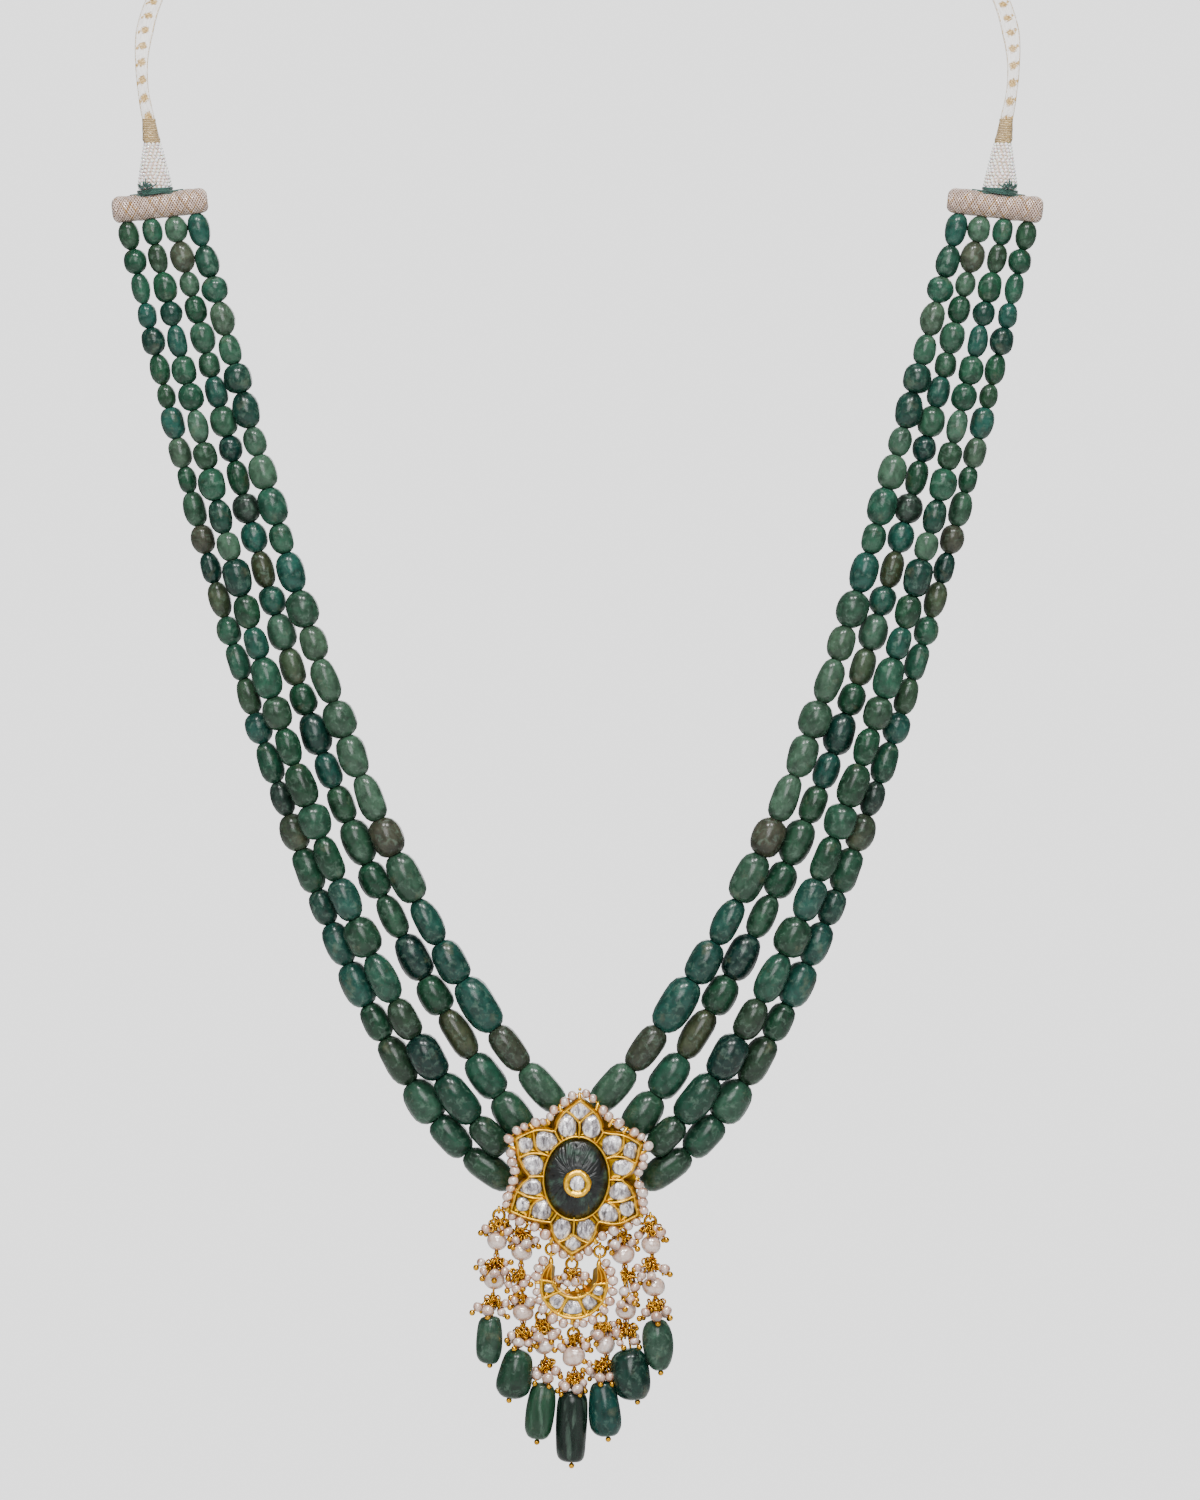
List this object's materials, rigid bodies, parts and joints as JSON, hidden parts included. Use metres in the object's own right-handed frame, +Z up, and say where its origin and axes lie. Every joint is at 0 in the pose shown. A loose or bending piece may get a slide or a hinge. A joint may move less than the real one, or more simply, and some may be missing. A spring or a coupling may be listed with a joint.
{
  "type": "bead necklace with flower pendant",
  "caption": "Long necklace of green stone bead strings on a woven neck ribbon, with a stone-set flower pendant, a hinged crescent and wired pearl and stone dangles.",
  "frame": {"origin": "the nape: middle of the ribbon's back, where the necklace hangs on a neck", "axes": "+Z up along the hang, the front faces -Y, +X to the viewer's right"},
  "size_m": [0.2614, 0.1212, 0.469],
  "materials": {
    "emerald": "tumbled and polished",
    "green_thread": "matte twist",
    "ribbon_weave": "satin weave with metallic edges",
    "gold_thread": "metallic whipping",
    "pink_gold_thread": "metallic thread wound criss-cross",
    "seed_beads": "satin",
    "pearl": "lustrous",
    "carved_green_stone": "carved and polished",
    "polki": "flat cut over bright foil",
    "gold": "polished 22 carat gold"
  },
  "bodies": {
    "necklace": {"ribbon": "ribbon_weave", "star_setting": "gold", "petal_stones": "polki", "centre_stone": "carved_green_stone", "centre_collet": "gold", "centre_polki": "polki", "rim_pearls": "pearl", "ring_left": "gold", "ring_right": "gold", "tip_ring": "gold", "bar_left": "pink_gold_thread", "cone_left": "seed_beads", "wrap_left": "gold_thread", "bar_right": "pink_gold_thread", "cone_right": "seed_beads", "wrap_right": "gold_thread", "strand_left_1": "emerald", "thread_left_1": "green_thread", "strand_left_2": "emerald", "thread_left_2": "green_thread", "strand_left_3": "emerald", "thread_left_3": "green_thread", "strand_left_4": "emerald", "thread_left_4": "green_thread", "strand_right_1": "emerald", "thread_right_1": "green_thread", "strand_right_2": "emerald", "thread_right_2": "green_thread", "strand_right_3": "emerald", "thread_right_3": "green_thread", "strand_right_4": "emerald", "thread_right_4": "green_thread", "dangle_wire_1": "gold", "dangle_wire_2": "gold", "dangle_wire_6": "gold", "dangle_wire_7": "gold", "drop_1": "emerald", "drop_2": "emerald", "drop_6": "emerald", "drop_7": "emerald", "pearl_1a": "pearl", "pearl_1b": "pearl", "pearl_2a": "pearl", "pearl_2b": "pearl", "pearl_6a": "pearl", "pearl_6b": "pearl", "pearl_7a": "pearl", "pearl_7b": "pearl"},
    "crescent": {"crescent_frame": "gold", "crescent_stones": "polki", "crescent_pearls": "pearl", "dangle_wire_3": "gold", "dangle_wire_4": "gold", "dangle_wire_5": "gold", "drop_3": "emerald", "drop_4": "emerald", "drop_5": "emerald", "pearl_3a": "pearl", "pearl_4a": "pearl", "pearl_5a": "pearl"}
  },
  "joints": [
    {"name": "crescent_swing", "type": "hinge", "parent": "necklace", "child": "crescent", "pos_m": [-0.00061, -0.1135, -0.40686], "axis": [0.9987, 0, -0.0506], "range_deg": [-30, 20]}
  ]
}
